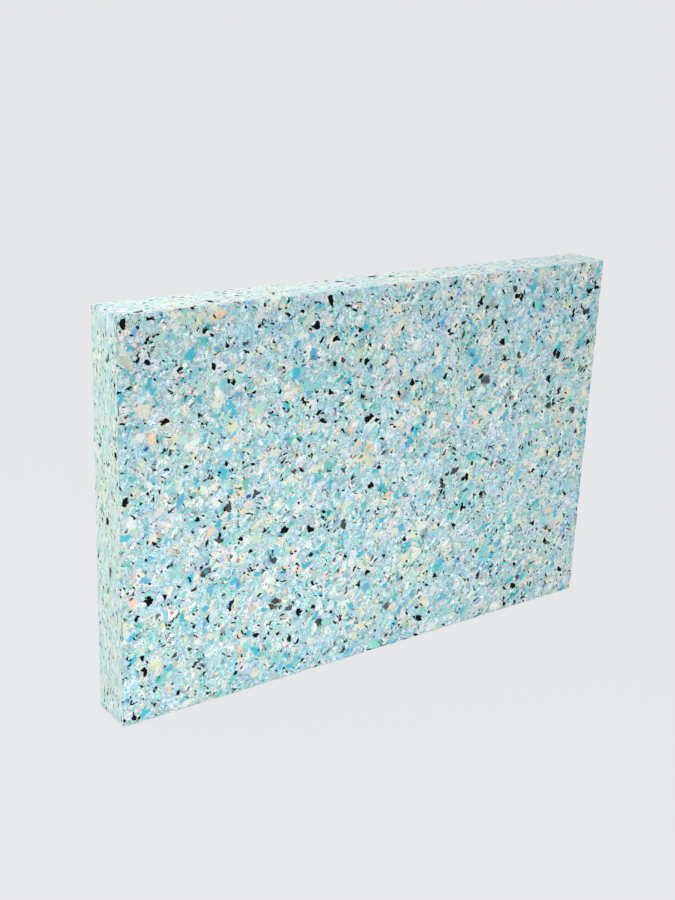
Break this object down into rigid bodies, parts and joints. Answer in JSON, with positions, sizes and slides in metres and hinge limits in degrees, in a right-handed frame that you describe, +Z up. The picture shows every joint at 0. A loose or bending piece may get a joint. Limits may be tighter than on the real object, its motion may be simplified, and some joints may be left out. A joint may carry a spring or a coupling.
{
  "type": "foam block",
  "caption": "Firm rectangular foam block of bonded coloured foam crumbs, cut flat on all sides, for support, padding or packing.",
  "frame": {"origin": "centre of the long narrow face that the block stands on, at the bottom of its bounding box", "axes": "+X along the block's length, +Y through its thickness (the way its crumbs were pressed) with the front face towards -Y, +Z up"},
  "size_m": [0.6, 0.05, 0.4],
  "materials": {
    "bonded_foam": "open-cell bonded polyurethane foam, knife-cut and quite matt, in pale blue-green with crumbs of turquoise, blue, cream, peach and black"
  },
  "bodies": {
    "root": {"foam_block": "bonded_foam"}
  },
  "joints": []
}
